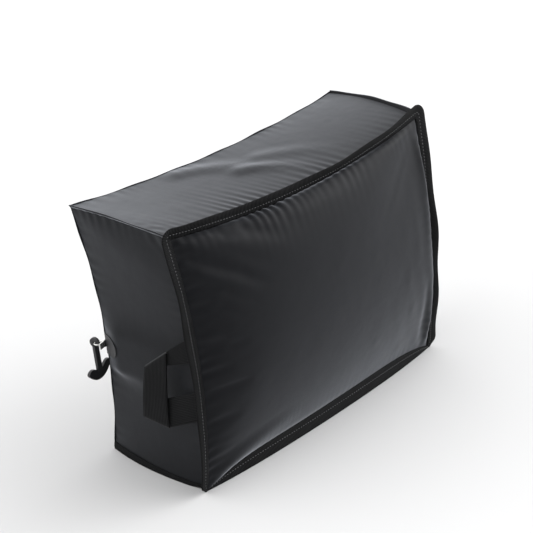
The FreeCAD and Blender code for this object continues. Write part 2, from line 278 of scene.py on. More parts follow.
def snap_to_ports(shares):
    """Slide the back's grid points that are close to an arm port's edge onto that edge."""
    reach = 0.55 * BACK_SPAN / CELLS[0]
    for side in (-1, 1):
        centre_u = port_share(side)
        middle = on_skin("back", centre_u, PORT_LEVEL)
        for key, (u, v, w) in shares.items():
            if v < 1 or u in (0, 1) or w in (0, 1):
                continue
            distance = (on_skin("back", u, w) - middle).length
            if abs(distance - PORT_RADIUS) < reach:
                grow = PORT_RADIUS / distance
                shares[key] = (centre_u + (u - centre_u) * grow, v, PORT_LEVEL + (w - PORT_LEVEL) * grow)


def side_count(key):
    """How many of the box's faces a grid point belongs to: two or more on a seam."""
    return sum(index in (0, cells) for index, cells in zip(key, CELLS))


def face_of(key):
    """The face that places a grid point."""
    if key[1] == 0:
        return "front"
    if key[1] == CELLS[1]:
        return "back"
    if key[2] == CELLS[2]:
        return "top"
    if key[2] == 0:
        return "bottom"
    return "left" if key[0] == 0 else "right"


def face_shares(face, shares):
    """The two shares that a face is measured by."""
    u, v, w = shares
    if face in ("front", "back"):
        return u, w
    if face in ("top", "bottom"):
        return u, v
    return v, w


def foot_seam_height(u):
    """How high the front's foot seam stands on its binding, lower at the two corners."""
    rise = 1 - abs(2 * u - 1) ** FOOT_CORNER_SHARPNESS
    return FOOT_CORNER_HEIGHT + (FOOT_SEAM_HEIGHT - FOOT_CORNER_HEIGHT) * rise


def foot_lift(u, v):
    """How far the foot is lifted at a share of the length and of the depth."""
    return foot_seam_height(u) * max(0.0, 1 - v / FOOT_SEAM_REACH) ** FOOT_LIFT_FALL


def flat_box_point(shares):
    """Where a grid point lies on the flat-sided box that the panels are cut for."""
    u, v, w = shares
    half_width, y, height = (front + (back - front) * v for front, back in zip(BOX_FRONT, BOX_BACK))
    half_width = half_width * MM * WIDTH_EASE
    low = foot_seam_height(u) * (1 - v)
    high = height * MM * HEIGHT_EASE
    return Vector(((2 * u - 1) * half_width, y * MM, low + (high - low) * w))


def lifted(point, u, v):
    """A point of the skin raised with the front's foot, less and less towards the top."""
    lift = foot_lift(u, v)
    point.z = lift + point.z * (1 - lift / on_skin("front", u, 1).z)
    return point


def drawn_point(key, shares):
    """Where a grid point lies on the smooth skin, with the front's foot lifted."""
    face = face_of(key)
    return lifted(on_skin(face, *face_shares(face, shares)), shares[0], shares[1])


def port_distance(point):
    """How far a point is from the middle of the nearer arm port."""
    return min((point - on_skin("back", port_share(side), PORT_LEVEL)).length for side in (-1, 1))


def is_held(key, shares, point):
    """True where the cloth can't puff up: the seams, the foot, the zipper, its end pieces and the arm ports."""
    if side_count(key) > 1 or key[2] == 0:
        return True
    v, w = shares[1:]
    if key[2] == 1 and v > FOOT_SEAM_REACH:
        return True
    if v == 1:
        at_port = port_distance(point) < PORT_RADIUS + PORT_MARGIN
        return at_port or abs(w - ZIPPER_LEVEL) < TAPE_SHARE + TAPE_MARGIN
    return v > 1 - DOCK_SHARE - DOCK_MARGIN and abs(w - ZIPPER_LEVEL) < DOCK_RISE


def box_quads():
    """The grid's cells, face by face."""
    nx, ny, nz = CELLS
    quads = {face: [] for face in FACES}
    for i in range(nx):
        for k in range(nz):
            quads["front"].append([(i, 0, k), (i + 1, 0, k), (i + 1, 0, k + 1), (i, 0, k + 1)])
            quads["back"].append([(i, ny, k), (i, ny, k + 1), (i + 1, ny, k + 1), (i + 1, ny, k)])
        for j in range(ny):
            quads["top"].append([(i, j, nz), (i + 1, j, nz), (i + 1, j + 1, nz), (i, j + 1, nz)])
            quads["bottom"].append([(i, j, 0), (i, j + 1, 0), (i + 1, j + 1, 0), (i + 1, j, 0)])
    for j in range(ny):
        for k in range(nz):
            quads["left"].append([(0, j, k), (0, j, k + 1), (0, j + 1, k + 1), (0, j + 1, k)])
            quads["right"].append([(nx, j, k), (nx, j + 1, k), (nx, j + 1, k + 1), (nx, j, k + 1)])
    return quads


def inflate(bag, held):
    """Blow the bag up like a cushion while its seams are drawn in, and return the settled points."""
    bag.vertex_groups.new(name="held").add(held, 1.0, "REPLACE")
    cloth = bag.modifiers.new("Cloth", "CLOTH")
    for setting, value in CLOTH_SETTINGS.items():
        setattr(cloth.settings, setting, value)
    cloth.settings.vertex_group_mass = "held"
    cloth.settings.effector_weights.gravity = 0
    cloth.collision_settings.use_collision = False
    cloth.point_cache.frame_start = 1
    cloth.point_cache.frame_end = SETTLED_FRAME + 1
    for number in range(1, SETTLED_FRAME + 1):
        bpy.context.scene.frame_set(number)
    settled = bpy.data.meshes.new_from_object(bag.evaluated_get(bpy.context.evaluated_depsgraph_get()))
    return [vertex.co.copy() for vertex in settled.vertices]


def puffed_points(shares, quads, target):
    """The settled place of every grid point of the puffed-up bag, from its place on the smooth skin."""
    order = {key: number for number, key in enumerate(shares)}
    unevenness = np.random.default_rng(4)
    start = []
    for key in shares:
        point = flat_box_point(shares[key])
        if side_count(key) < 2:
            point = point + Vector(unevenness.normal(0, UNEVENNESS, 3))
        start.append(point)
    mesh = bpy.data.meshes.new("bag_start")
    mesh.from_pydata(start, [], [[order[key] for key in quad] for face in FACES for quad in quads[face]])
    bag = bpy.data.objects.new("bag_start", mesh)
    bpy.context.scene.collection.objects.link(bag)
    bag.shape_key_add(name="flat")
    drawn = bag.shape_key_add(name="drawn")
    for key, number in order.items():
        drawn.data[number].co = target[key]
    for value, number in ((0, 1), (1, DRAW_IN_FRAMES)):
        drawn.value = value
        drawn.keyframe_insert("value", frame=number)
    held = [order[key] for key in shares if is_held(key, shares[key], target[key])]
    settled = inflate(bag, held)
    bpy.data.objects.remove(bag)
    return {key: settled[number] for key, number in order.items()}


# ---- Small mesh tools ----

def piece_from(name, points, faces, uvs, material, smooth=True):
    """An object from points, faces and one UV pair (in metres of cloth) per point."""
    mesh = bpy.data.meshes.new(name)
    mesh.from_pydata(points, [], faces)
    layer = mesh.uv_layers.new(name="cloth")
    for loop in mesh.loops:
        layer.data[loop.index].uv = uvs[loop.vertex_index]
    mesh.materials.append(material)
    mesh.polygons.foreach_set("use_smooth", [smooth] * len(mesh.polygons))
    piece = bpy.data.objects.new(name, mesh)
    bpy.context.scene.collection.objects.link(piece)
    return piece


def bake(piece):
    """Apply a piece's modifiers to its mesh."""
    baked = bpy.data.meshes.new_from_object(piece.evaluated_get(bpy.context.evaluated_depsgraph_get()))
    piece.modifiers.clear()
    piece.data = baked


def thicken(piece, thickness, offset=-1.0):
    """Give a sheet its thickness, inwards from its surface or, with an offset of 0, to both sides."""
    solid = piece.modifiers.new("Thickness", "SOLIDIFY")
    solid.thickness = thickness
    solid.offset = offset
    bake(piece)


def grid_faces(columns, rows, closed=False):
    """Faces of a grid whose points are listed column by column; closed joins the last column to the first."""
    faces = []
    for column in range(columns if closed else columns - 1):
        here, following = column * rows, (column + 1) % columns * rows
        for row in range(rows - 1):
            faces.append([here + row, following + row, following + row + 1, here + row + 1])
    return faces


def ring_faces(first, joins, count):
    """Faces that join each closed ring of points to the next one."""
    faces = []
    for start in range(first, first + joins * count, count):
        for turn in range(count):
            a, b = start + turn, start + (turn + 1) % count
            faces.append([a, b, b + count, a + count])
    return faces


def sweep(name, sections, travelled, material, closed=False):
    """A tube-like piece from a list of closed cross-sections; travelled is the distance along at each."""
    rows = len(sections[0]) + 1
    points, uvs = [], []
    for section, distance in zip(sections, travelled):
        ring = list(section) + [section[0]]
        girth = 0.0
        for number, point in enumerate(ring):
            if number:
                girth += (point - ring[number - 1]).length
            points.append(point)
            uvs.append((distance, girth))
    faces = grid_faces(len(sections), rows, closed)
    if not closed:
        faces.append(list(range(rows - 2, -1, -1)))
        last = (len(sections) - 1) * rows
        faces.append([last + number for number in range(rows - 1)])
    piece = piece_from(name, points, faces, uvs, material)
    weld = piece.modifiers.new("Weld", "WELD")
    weld.merge_threshold = 0.00001
    bake(piece)
    return piece


def distances(points):
    """The distance travelled along a line of points, at each of them."""
    travelled = [0.0]
    for previous, point in zip(points, points[1:]):
        travelled.append(travelled[-1] + (point - previous).length)
    return travelled


def point_at(line, travelled, distance):
    """The point and the direction at a distance along a line."""
    number = int(np.searchsorted(travelled, distance, side="right")) - 1
    number = max(0, min(number, len(line) - 2))
    span = line[number + 1] - line[number]
    share = (distance - travelled[number]) / max(span.length, 1e-9)
    return line[number] + span * share, span.normalized()


def stitches(name, line, outward, material):
    """A row of short thread stitches along a line; outward is the way the cloth faces."""
    travelled = distances(line)
    points, faces, uvs = [], [], []
    distance = STITCH_GAP
    while distance + STITCH_LENGTH < travelled[-1]:
        faces += ring_faces(len(points), len(STITCH_RINGS) - 1, THREAD_SIDES)
        for share, size, stand_off in STITCH_RINGS:
            reached = distance + STITCH_LENGTH * share
            centre, forward = point_at(line, travelled, reached)
            side = forward.cross(outward).normalized()
            centre = centre + outward * (THREAD_THICKNESS * stand_off)
            for turn in range(THREAD_SIDES):
                angle = math.radians(360 / THREAD_SIDES * turn)
                spoke = side * math.cos(angle) + outward * math.sin(angle)
                points.append(centre + spoke * THREAD_THICKNESS * size)
                uvs.append((reached, turn * THREAD_THICKNESS))
        distance += STITCH_LENGTH + STITCH_GAP
    return piece_from(name, points, faces, uvs, material)


def put(piece, body, slot, *replaced):
    """Let a piece ride on a body and stand for CAD nodes. The slot is not used."""
    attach(piece, body)
    if replaced:
        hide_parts(*replaced)
    return piece


# ---- Materials ----

def new_material(name, colour, roughness, **sockets):
    """A material and its Principled shader, with further sockets set by name."""
    material = bpy.data.materials.new(name)
    material.use_nodes = True
    shader = material.node_tree.nodes["Principled BSDF"]
    shader.inputs["Base Color"].default_value = (*colour, 1)
    shader.inputs["Roughness"].default_value = roughness
    for socket, value in sockets.items():
        shader.inputs[socket.replace("_", " ")].default_value = value
    return material, shader


def node(material, kind, inputs=None, **properties):
    """Add a node; inputs maps a socket's name or number to a value or to another node's output."""
    made = material.node_tree.nodes.new(kind)
    for key, value in properties.items():
        setattr(made, key, value)
    for socket, value in (inputs or {}).items():
        if isinstance(value, bpy.types.NodeSocket):
            material.node_tree.links.new(value, made.inputs[socket])
        else:
            made.inputs[socket].default_value = value
    return made


def link(material, output, socket):
    """Join an output to an input."""
    material.node_tree.links.new(output, socket)


def waves(material, coordinates, direction, spacing, distortion=0.0):
    """Parallel ridges a given distance apart, from 0 to 1."""
    return node(material, "ShaderNodeTexWave",
                {"Vector": coordinates, "Scale": math.pi / 10 / spacing, "Distortion": distortion},
                bands_direction=direction).outputs["Fac"]


def blend_colours(material, shader, factor, dark, light):
    """Vary the base colour between two colours."""
    ramp = node(material, "ShaderNodeMix", {0: factor, 6: (*dark, 1), 7: (*light, 1)}, data_type="RGBA")
    link(material, ramp.outputs[2], shader.inputs["Base Color"])


def vary_roughness(material, shader, factor, low, high):
    """Vary the roughness between two values."""
    spread = node(material, "ShaderNodeMapRange", {"Value": factor, "To Min": low, "To Max": high})
    link(material, spread.outputs[0], shader.inputs["Roughness"])


def add_bump(material, shader, heights):
    """Stack bumps, each given as (height output, strength, distance)."""
    previous = None
    for height, strength, distance in heights:
        inputs = {"Height": height, "Strength": strength, "Distance": distance}
        if previous:
            inputs["Normal"] = previous
        previous = node(material, "ShaderNodeBump", inputs).outputs[0]
    link(material, previous, shader.inputs["Normal"])


def noise(material, coordinates, scale, detail=3.0, roughness=0.5):
    """Cloudy variation."""
    return node(material, "ShaderNodeTexNoise", {"Vector": coordinates, "Scale": scale, "Detail": detail,
                                                 "Roughness": roughness}).outputs["Fac"]


def coated_cloth(name, dark, light, sheen):
    """Closely woven nylon with a satin coating: fine weave, faint mottling, small rumples and rubbed spots."""
    material, shader = new_material(name, dark, 0.46, Sheen_Weight=sheen, Sheen_Roughness=0.38,
                                    Sheen_Tint=(0.88, 0.92, 1.0, 1), Specular_IOR_Level=0.08)
    place = node(material, "ShaderNodeTexCoord")
    cloth, solid = place.outputs["UV"], place.outputs["Object"]
    mottling = noise(material, solid, 9.0, 5.0, 0.6)
    rubbing = noise(material, solid, 60.0, 4.0, 0.7)
    blend_colours(material, shader, mottling, dark, light)
    vary_roughness(material, shader, rubbing, 0.38, 0.56)
    rumple = noise(material, solid, 28.0, 2.0, 0.45)
    warp = waves(material, cloth, "X", 0.55 * MM)
    weft = waves(material, cloth, "Y", 0.55 * MM)
    weave = node(material, "ShaderNodeMath", {0: warp, 1: weft}, operation="MULTIPLY").outputs[0]
    add_bump(material, shader, [(rumple, 0.35, 1.2 * MM), (rubbing, 0.15, 0.3 * MM),
                                (weave, 0.12, 0.06 * MM)])
    return material


def woven_tape(name, dark, light, rib, across, fuzz=0.25):
    """Ribbed woven tape; across is the UV direction that crosses the ribs."""
    material, shader = new_material(name, dark, 0.75, Sheen_Weight=fuzz, Sheen_Roughness=0.5,
                                    Specular_IOR_Level=0.08)
    place = node(material, "ShaderNodeTexCoord")
    cloth, solid = place.outputs["UV"], place.outputs["Object"]
    ribs = waves(material, cloth, across, rib, 0.25)
    picks = waves(material, cloth, "Y" if across == "X" else "X", rib * 0.6)
    wear = noise(material, solid, 45.0, 4.0, 0.6)
    # The colour is darker in the hollows between the ribs and lighter on their crests, a painted shade, and it
    # also varies with the wear noise.
    rib_shade_and_wear = node(material, "ShaderNodeMath", {0: ribs, 1: wear}, operation="MULTIPLY").outputs[0]
    blend_colours(material, shader, rib_shade_and_wear, dark, light)
    vary_roughness(material, shader, wear, 0.6, 0.85)
    add_bump(material, shader, [(ribs, 0.8, 0.35 * MM), (picks, 0.4, 0.12 * MM), (wear, 0.3, 0.2 * MM)])
    return material


def moulded(name, colour, light, roughness, grain):
    """Soft moulded rubber or hard nylon with a fine grain and faint rub marks."""
    material, shader = new_material(name, colour, roughness)
    solid = node(material, "ShaderNodeTexCoord").outputs["Object"]
    pits = noise(material, solid, grain, 3.0, 0.6)
    wear = noise(material, solid, 120.0, 4.0, 0.6)
    blend_colours(material, shader, wear, colour, light)
    vary_roughness(material, shader, wear, roughness - 0.08, roughness + 0.1)
    add_bump(material, shader, [(pits, 0.35, 0.1 * MM)])
    return material


def bright_metal():
    """Nickel-plated zinc with faint polishing marks and duller, worn patches."""
    material, shader = new_material("bright_metal", (0.62, 0.62, 0.6), 0.24, Metallic=1.0)
    solid = node(material, "ShaderNodeTexCoord").outputs["Object"]
    wear = noise(material, solid, 260.0, 4.0, 0.65)
    stretch = node(material, "ShaderNodeMapping", {"Vector": solid, "Scale": (300, 300, 6000)}).outputs[0]
    polish = noise(material, stretch, 1.0, 2.0, 0.5)
    blend_colours(material, shader, wear, (0.5, 0.5, 0.49), (0.74, 0.74, 0.72))
    vary_roughness(material, shader, wear, 0.16, 0.36)
    add_bump(material, shader, [(polish, 0.12, 0.03 * MM)])
    return material


def make_materials():
    """Every finish, by name."""
    return {
        "cloth": coated_cloth("coated_cloth", (0.0028, 0.0030, 0.0038), (0.0046, 0.0049, 0.0060), 0.5),
        "lining": coated_cloth("lining_cloth", (0.008, 0.008, 0.009), (0.014, 0.014, 0.015), 0.0),
        "binding": woven_tape("binding_tape", (0.0006, 0.0006, 0.0007), (0.0200, 0.0205, 0.0215),
                              2.0 * MM, "X", 0.0),
        "webbing": woven_tape("webbing", (0.0022, 0.0023, 0.0026), (0.0220, 0.0225, 0.0235),
                              2.2 * MM, "Y", 0.02),
        # The fold rolls are much lighter than the webbing: a painted highlight along the folds.
        "fold_painted_highlight": woven_tape("webbing_fold", (0.020, 0.021, 0.022), (0.050, 0.051, 0.053),
                                2.2 * MM, "X", 0.1),
        "tape": woven_tape("zipper_tape", (0.010, 0.010, 0.011), (0.024, 0.024, 0.026), 0.8 * MM, "X", 0.1),
        "elastic": woven_tape("elastic_tape", (0.010, 0.010, 0.010), (0.026, 0.026, 0.027), 1.4 * MM, "X"),
        "thread": moulded("stitching_thread", (0.075, 0.076, 0.08), (0.14, 0.14, 0.145), 0.6, 900.0),
        "teeth": moulded("zipper_teeth", (0.012, 0.012, 0.013), (0.022, 0.022, 0.024), 0.36, 700.0),
        "rubber": moulded("soft_rubber", (0.014, 0.014, 0.015), (0.024, 0.024, 0.026), 0.5, 900.0),
        "metal": bright_metal(),
    }


# ---- Shell and lining ----

def flat_size(face):
    """The width and height that one face's cloth is cut to, with the ease that lets it puff up."""
    width, height = FACE_SPANS[face]
    if face in ("front", "back", "top", "bottom"):
        width *= WIDTH_EASE
    if face in ("front", "back", "left", "right"):
        height *= HEIGHT_EASE
    return width * MM, height * MM


def ripple(distance, spacing):
    """An irregular row of ridges, from -1 to 1."""
    phase = 2 * math.pi * distance / spacing
    phase = phase + 1.9 * np.sin(distance * 31 + 0.7) + 1.1 * np.sin(distance * 83 + 2.1)
    return np.sin(phase) * (0.62 + 0.38 * np.sin(distance * 47 + 1.3))


def pucker(along, from_seam, spacing, depth, reach):
    """How far cloth gathered into a seam rises: ridges square to the seam that fade away from it."""
    fade = np.exp(-from_seam / reach) * (1 - np.exp(-from_seam / (1.5 * MM)))
    return depth * ripple(along, spacing) * fade


def long_fold(x, y, aspect, start, bend, end, tall, wide):
    """A soft ridge with a trough beside it along an arc through three points, all in shares of the face."""
    nearest = np.full(x.shape, np.inf)
    beside = np.zeros(x.shape)
    reached = np.zeros(x.shape)
    for share in np.linspace(0, 1, 33):
        arc_x, arc_y = (through(a, b, c, share) for a, b, c in zip(start, bend, end))
        gap = np.hypot((x - arc_x) * aspect, y - arc_y)
        closer = gap < nearest
        nearest = np.where(closer, gap, nearest)
        beside = np.where(closer, y - arc_y, beside)
        reached = np.where(closer, share, reached)
    ridge = np.exp(-(nearest / wide) ** 2) * (1 - reached ** 2)
    return tall * ridge * (1 - 1.2 * np.clip(beside / wide, -1, 1))


def long_folds(x, y, width, height, folds):
    """The rise of all of a face's long folds together."""
    return sum(long_fold(x / width, y / height, width / height, start, bend, end, tall * MM, wide)
               for start, bend, end, tall, wide in folds)


def plain_puckers(depth):
    """The faint puckers of a face without a gathered seam."""
    return [("left", 0.17, 0, 14, depth, 10), ("right", 0.41, 0, 15, depth, 10),
            ("high", 0.29, 0, 15, depth, 9)]


PUCKERS = {"front": FRONT_PUCKERS, "top": TOP_PUCKERS, "bottom": plain_puckers(0.3),
           "back": plain_puckers(0.45), "left": plain_puckers(0.45), "right": plain_puckers(0.45)}
FOLDS = {"front": FRONT_FOLDS, "top": TOP_FOLDS}


def seam_relief(face, x, y, width, height):
    """The rise of a face's cloth from its puckers and long folds; x and y are metres of cloth."""
    strong = 1.3 * MM * np.exp(-((x - 0.38 * width) / (0.26 * width)) ** 2) + 0.25 * MM
    seams = {"high": (x, height - y), "low": (x, y), "left": (y, x), "right": (y, width - x)}
    rise = 0.0
    for seam, shift, slant, spacing, depth, reach in PUCKERS[face]:
        along, from_seam = seams[seam]
        deep = strong if depth is None else depth * MM
        rise = rise + pucker(along + shift + slant * from_seam, from_seam, spacing * MM, deep, reach * MM)
    return rise + long_folds(x, y, width, height, FOLDS.get(face, []))


def port_side(point):
    """-1 inside an arm port, 0 on its edge and 1 outside both."""
    distance = port_distance(point)
    if abs(distance - PORT_RADIUS) < 0.2 * MM:
        return 0
    return -1 if distance < PORT_RADIUS else 1


def without_ports(quads, target):
    """The back's cells with the arm ports cut out along their round edges."""
    kept = []
    for quad in quads:
        sides = [port_side(target[key]) for key in quad]
        if min(sides) == 1 or (min(sides) == 0 and max(sides) == 1):
            kept.append(quad)
        elif min(sides) < 0 < max(sides):
            for a, b, c in ((0, 1, 2), (2, 3, 0), (1, 2, 3), (3, 0, 1)):
                corners = [sides[a], sides[b], sides[c]]
                if min(corners) == 0 and max(corners) == 1 and sides[a] == 0 and sides[c] == 0:
                    kept.append([quad[a], quad[b], quad[c]])
    return kept


def cloth_sheet(name, face, quads, points, shares, material, detail):
    """One panel as its own sheet of cloth, refined from the grid."""
    width, height = flat_size(face)
    keys = sorted({key for quad in quads for key in quad})
    order = {key: number for number, key in enumerate(keys)}
    uvs = []
    for key in keys:
        across, up = face_shares(face, shares[key])
        uvs.append((across * width, up * height))
    faces = [[order[key] for key in quad] for quad in quads]
    piece = piece_from(name, [points[key] for key in keys], faces, uvs, material)
    refine = piece.modifiers.new("Refine", "SUBSURF")
    refine.levels = detail
    refine.boundary_smooth = "PRESERVE_CORNERS"
    bake(piece)
    return piece


def raise_puckers(piece, face):
    """Move a refined sheet's points along their normals by the seam puckers."""
    mesh = piece.data
    width, height = flat_size(face)
    count = len(mesh.vertices)
    where = np.zeros((count, 2))
    layer = mesh.uv_layers[0].data
    for loop in mesh.loops:
        where[loop.vertex_index] = layer[loop.index].uv
    rise = seam_relief(face, where[:, 0], where[:, 1], width, height)
    points = np.zeros(count * 3)
    normals = np.zeros(count * 3)
    mesh.vertices.foreach_get("co", points)
    mesh.vertex_normals.foreach_get("vector", normals)
    points = points.reshape(-1, 3) + normals.reshape(-1, 3) * rise[:, None]
    mesh.vertices.foreach_set("co", points.ravel())
    mesh.update()


def inset_points(points, depth):
    """The grid drawn in from the cloth towards the bag's inside."""
    middle = Vector((0, 0, 168 * MM))
    half = (215 * MM, 90 * MM, 168 * MM)
    inside = {}
    for key, point in points.items():
        across = [value / reach for value, reach in zip(point - middle, half)]
        pull = Vector([math.copysign(min(1.0, abs(value)) ** 8, value) for value in across])
        inside[key] = point - pull.normalized() * depth if pull.length > 0.01 else point
    return inside


def make_shell(materials):
    """The outer cloth and the lining, panel by panel."""
    shares = box_grid()
    snap_to_ports(shares)
    quads = box_quads()
    target = {key: drawn_point(key, shares[key]) for key in shares}
    points = puffed_points(shares, quads, target)
    inside = inset_points(points, LINING_DEPTH)
    low = [quad for quad in quads["back"] if max(shares[key][2] for key in quad) < ZIPPER_LEVEL]
    high = [quad for quad in quads["back"] if min(shares[key][2] for key in quad) > ZIPPER_LEVEL]
    panels = [(face, face, quads[face], face + "_panel", "lining_" + face)
              for face in ("front", "top", "bottom")]
    panels += [(face + "_end", face, quads[face], face + "_end_panel", "lining_" + face)
               for face in ("left", "right")]
    panels.append(("back_lower", "back", low, "back_panel_lower", "lining_back_lower"))
    high = without_ports(high, target)
    panels.append(("back_upper", "back", high, "back_panel_upper", "lining_back_upper"))
    for name, face, cells, panel_node, lining_node in panels:
        sheet = cloth_sheet(name + "_cloth", face, cells, points, shares, materials["cloth"], 2)
        raise_puckers(sheet, face)
        put(sheet, "bag", "coated_cloth", panel_node)
        lining = cloth_sheet(name + "_lining", face, cells, inside, shares, materials["lining"], 1)
        put(lining, "bag", "lining_cloth", lining_node)
        declare_panel(name, face)
        declare_panel(name, face)
    return points


def declare_panel(name, face):
    """Work out the flat size that a panel was cut to; the result is not used."""
    width, height = flat_size(face)
    if name == "back_lower":
        height = height * (ZIPPER_LEVEL - TAPE_SHARE)
    if name == "back_upper":
        height = height * (1 - ZIPPER_LEVEL - TAPE_SHARE)


# ---- Bound edges ----

def front_seam():
    """The seam round the front panel, from the left foot corner clockwise, with the way its flange stands."""
    walk = []
    corners = [(0, 0), (0, 1), (1, 1), (1, 0), (0, 0)]
    ways = [Vector(way) for way in ((-1, 0, 0), (0, 0, 1), (1, 0, 0), (0, 0, -1), (-1, 0, 0))]
    steps, corner_steps = 60, 8
    for start, end, outward, following in zip(corners, corners[1:], ways, ways[1:]):
        for step in range(steps + 1):
            u, w = (a + (b - a) * step / steps for a, b in zip(start, end))
            walk.append((seam_point(u, w), outward))
        for step in range(1, corner_steps):
            turn = math.pi / 2 * step / corner_steps
            walk.append((seam_point(*end), outward * math.cos(turn) + following * math.sin(turn)))
    return walk


def seam_point(u, w):
    """A point of the front's edge, with its foot lifted."""
    return lifted(on_skin("front", u, w), u, 0)


def binding_section(point, outward, height, distance):
    """The cross-section of the folded tape where it clasps the seam's raw edges, thinner at its stitches."""
    down = max(0.0, -outward.z)
    near_foot = max(0.0, 1 - height / (14 * MM)) ** 2
    width = (BINDING_WIDTH + 0.5 * MM * math.sin(distance * 70)) * (1 - 0.9 * near_foot)
    width = width * (1 - down) + height * down
    lean = 2.4 * MM * math.sin(distance * 21 + 1) + 1.1 * MM * math.sin(distance * 57)
    splay = BINDING_SPLAY * width + lean * (1 - near_foot) * (1 - down)
    section = []
    for out, up in BINDING_PROFILE:
        forward = up * BINDING_HALF_THICKNESS + splay * max(0.0, out)
        corner = point + outward * out * width + Vector((0, -forward, 0))
        corner.z = max(corner.z, GROUND_GAP)
        section.append(corner)
    return section


def make_binding(materials):
    """The grosgrain tape folded over the seam allowance all round the front, and its stitching."""
    walk = front_seam()
    middle = [point + outward * BINDING_WIDTH * 0.6 for point, outward in walk]
    travelled = distances(middle)
    sections = [binding_section(point, outward, point.z, distance)
                for (point, outward), distance in zip(walk, travelled)]
    tape = sweep("front_binding", sections, travelled, materials["binding"], closed=True)
    put(tape, "bag", "binding_tape", "front_binding_top", "front_binding_left", "front_binding_right",
        "front_binding_bottom")
    for name, side, corner in (("front", -1, 2), ("rear", 1, 10)):
        line = [section[corner] for section in sections]
        line = line[:1] + [point for before, point in zip(line, line[1:]) if (point - before).length > 1e-5]
        row = stitches("binding_stitches_" + name, line, Vector((0, side, 0)), materials["thread"])
        put(row, "bag", "binding_tape")


def make_seam_ridges(materials):
    """The narrow ridges of the plain seams: along the top's ends and back, and up the back's ends."""
    short = [step / 60 for step in range(1, 61)]
    long = [step / 90 for step in range(91)]
    seams = {
        "left_top": (2.6, 1.8, [on_skin("top", 0, share) for share in short], (-0.55, 0, 0.83)),
        "right_top": (6.0, 2.5, [on_skin("top", 1, share) for share in short], (0.55, 0, 0.83)),
        "back_top": (0.9, 0.9, [on_skin("top", share, 1) for share in long], (0, 0.6, 0.8)),
        "back_left": (0.8, 0.8, [on_skin("left", 1, share) for share in long], (-0.8, 0.6, 0)),
        "back_right": (0.8, 0.8, [on_skin("right", 1, share) for share in long], (0.8, 0.6, 0)),
    }
    for name, (first_height, last_height, line, way) in seams.items():
        outward = Vector(way)
        travelled = distances(line)
        sections = []
        for number, distance in enumerate(travelled):
            ahead = line[min(number + 1, len(line) - 1)] - line[max(number - 1, 0)]
            side = ahead.cross(outward).normalized()
            height = first_height + (last_height - first_height) * number / len(travelled)
            proud = (height + 0.5 * math.sin(distance * 90) + 0.3 * math.sin(distance * 41 + 2)) * MM
            sway = 0.6 * MM * math.sin(distance * 63 + 1)
            sections.append([line[number] + outward * proud * out + side * (half * MM + sway * max(0.0, out))
                             for out, half in RIDGE_PROFILE])
        ridge = sweep("seam_ridge_" + name, sections, travelled, materials["cloth"])
        put(ridge, "bag", "coated_cloth")


def make_base_bands(materials):
    """The bound band along the foot of the two ends and the back, lower towards the front."""
    columns = 60
    full_height = BASE_BAND_PROFILE[-1][0]
    for face, start in (("left", 0.04), ("right", 0.04), ("back", 0.0)):
        points, uvs = [], []
        for column in range(columns):
            share = start + (1 - start) * column / (columns - 1)
            depth_share = share if face != "back" else 1.0
            lift = foot_lift(0.0, depth_share)
            tall = BASE_BAND_HEIGHT * (0.45 + 0.55 * min(1.0, depth_share / 0.7))
            for height, stand_off in BASE_BAND_PROFILE:
                level = height / full_height * tall
                point = off_skin(face, share, level / BACK_HEIGHT, stand_off * MM)
                point.z = lift + max(level, GROUND_GAP)
                points.append(point)
                uvs.append((share * BACK_LENGTH, level))
        faces = grid_faces(columns, len(BASE_BAND_PROFILE))
        if face != "right":
            faces = [list(reversed(corners)) for corners in faces]
        band = piece_from("base_band_" + face, points, faces, uvs, materials["binding"])
        put(band, "bag", "binding_tape", "base_binding_" + face)


# ---- Zipper ----

def back_strip(name, low, high, height, material):
    """A strip of tape along the back between two shares of its height."""
    columns, rows = 90, 5
    points, uvs = [], []
    for column in range(columns):
        along = column / (columns - 1)
        for row in range(rows):
            up = low + (high - low) * row / (rows - 1)
            edge = 0.0 if 0 < row < rows - 1 else -0.35 * MM
            points.append(off_skin("back", along, up, height + edge))
            uvs.append((along * BACK_LENGTH, up * BACK_HEIGHT))
    faces = [list(reversed(corners)) for corners in grid_faces(columns, rows)]
    return piece_from(name, points, faces, uvs, material)


def make_teeth(name, side, material):
    """One closed row of moulded teeth along the zipper's middle."""
    line = [on_skin("back", step / 400, ZIPPER_LEVEL) for step in range(401)]
    travelled = distances(line)
    end_gap = 6 * MM
    points, faces, uvs = [], [], []
    for number in range(int(travelled[-1] / TOOTH_PITCH)):
        distance = (number + 0.5 + 0.25 * side) * TOOTH_PITCH
        if not end_gap < distance < travelled[-1] - end_gap:
            continue
        centre, forward = point_at(line, travelled, distance)
        outward = Vector((-forward.y, forward.x, 0))
        faces += ring_faces(len(points), len(TOOTH_RINGS) - 1, 4)
        for depth, half, near, far in TOOTH_RINGS:
            for a, b in ((-half, near), (half, near), (half, far), (-half, far)):
                across = forward * a * MM + Vector((0, 0, side * b * MM))
                points.append(centre + across + outward * depth * MM)
                uvs.append((distance, b * MM))
        faces.append(list(range(len(points) - 4, len(points))))
    return piece_from(name, points, faces, uvs, material, smooth=False)


